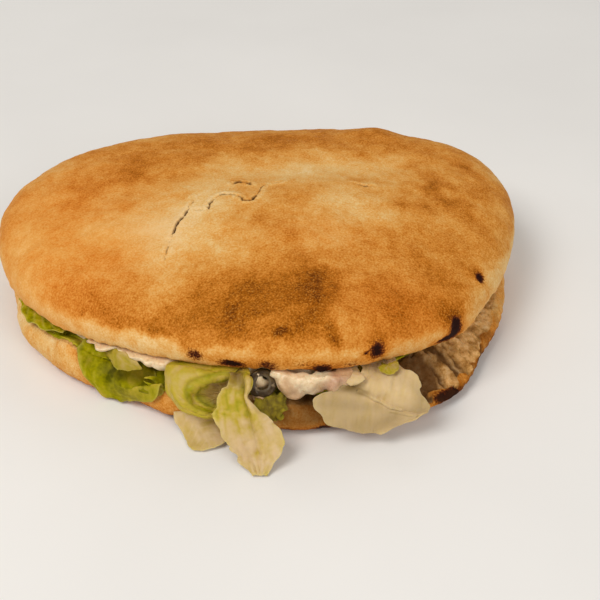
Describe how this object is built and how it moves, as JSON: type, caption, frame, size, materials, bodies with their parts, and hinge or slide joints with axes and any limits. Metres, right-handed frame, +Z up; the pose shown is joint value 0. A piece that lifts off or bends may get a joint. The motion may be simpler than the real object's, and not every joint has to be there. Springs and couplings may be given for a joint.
{
  "type": "filled flatbread sandwich",
  "caption": "Oval flatbread sandwich, split open at the front, with a creamy ham salad on lettuce, leaves spilling out.",
  "frame": {"origin": "on the flat base, under the middle of the loaf", "axes": "+X to the right along the loaf, as seen from the open side; the open side faces -Y; +Z up"},
  "size_m": [0.2616, 0.2308, 0.0627],
  "materials": {
    "crust": "matt baked flatbread crust, pale gold to brown, with char spots",
    "salad": "moist creamy pink ham salad",
    "olive": "moist dark olive",
    "lettuce_green": "fresh green leaf",
    "lettuce_pale": "pale yellow-green leaf",
    "lettuce_white": "pale, nearly white leaf",
    "lettuce_bed": "shredded lettuce"
  },
  "bodies": {
    "root": {"bread_bottom": "crust", "bread_top": "crust", "lettuce_bed": "lettuce_bed", "salad_layer": "salad", "olive_front": "olive", "olive_left": "olive", "lettuce_curled": "lettuce_pale", "lettuce_strip": "lettuce_green", "lettuce_green": "lettuce_green", "lettuce_flap": "lettuce_pale", "lettuce_back": "lettuce_white", "lettuce_tongue": "lettuce_pale", "lettuce_tuft": "lettuce_green", "lettuce_broad": "lettuce_white", "lettuce_curl": "lettuce_white", "lettuce_scrap": "lettuce_green"}
  },
  "joints": []
}
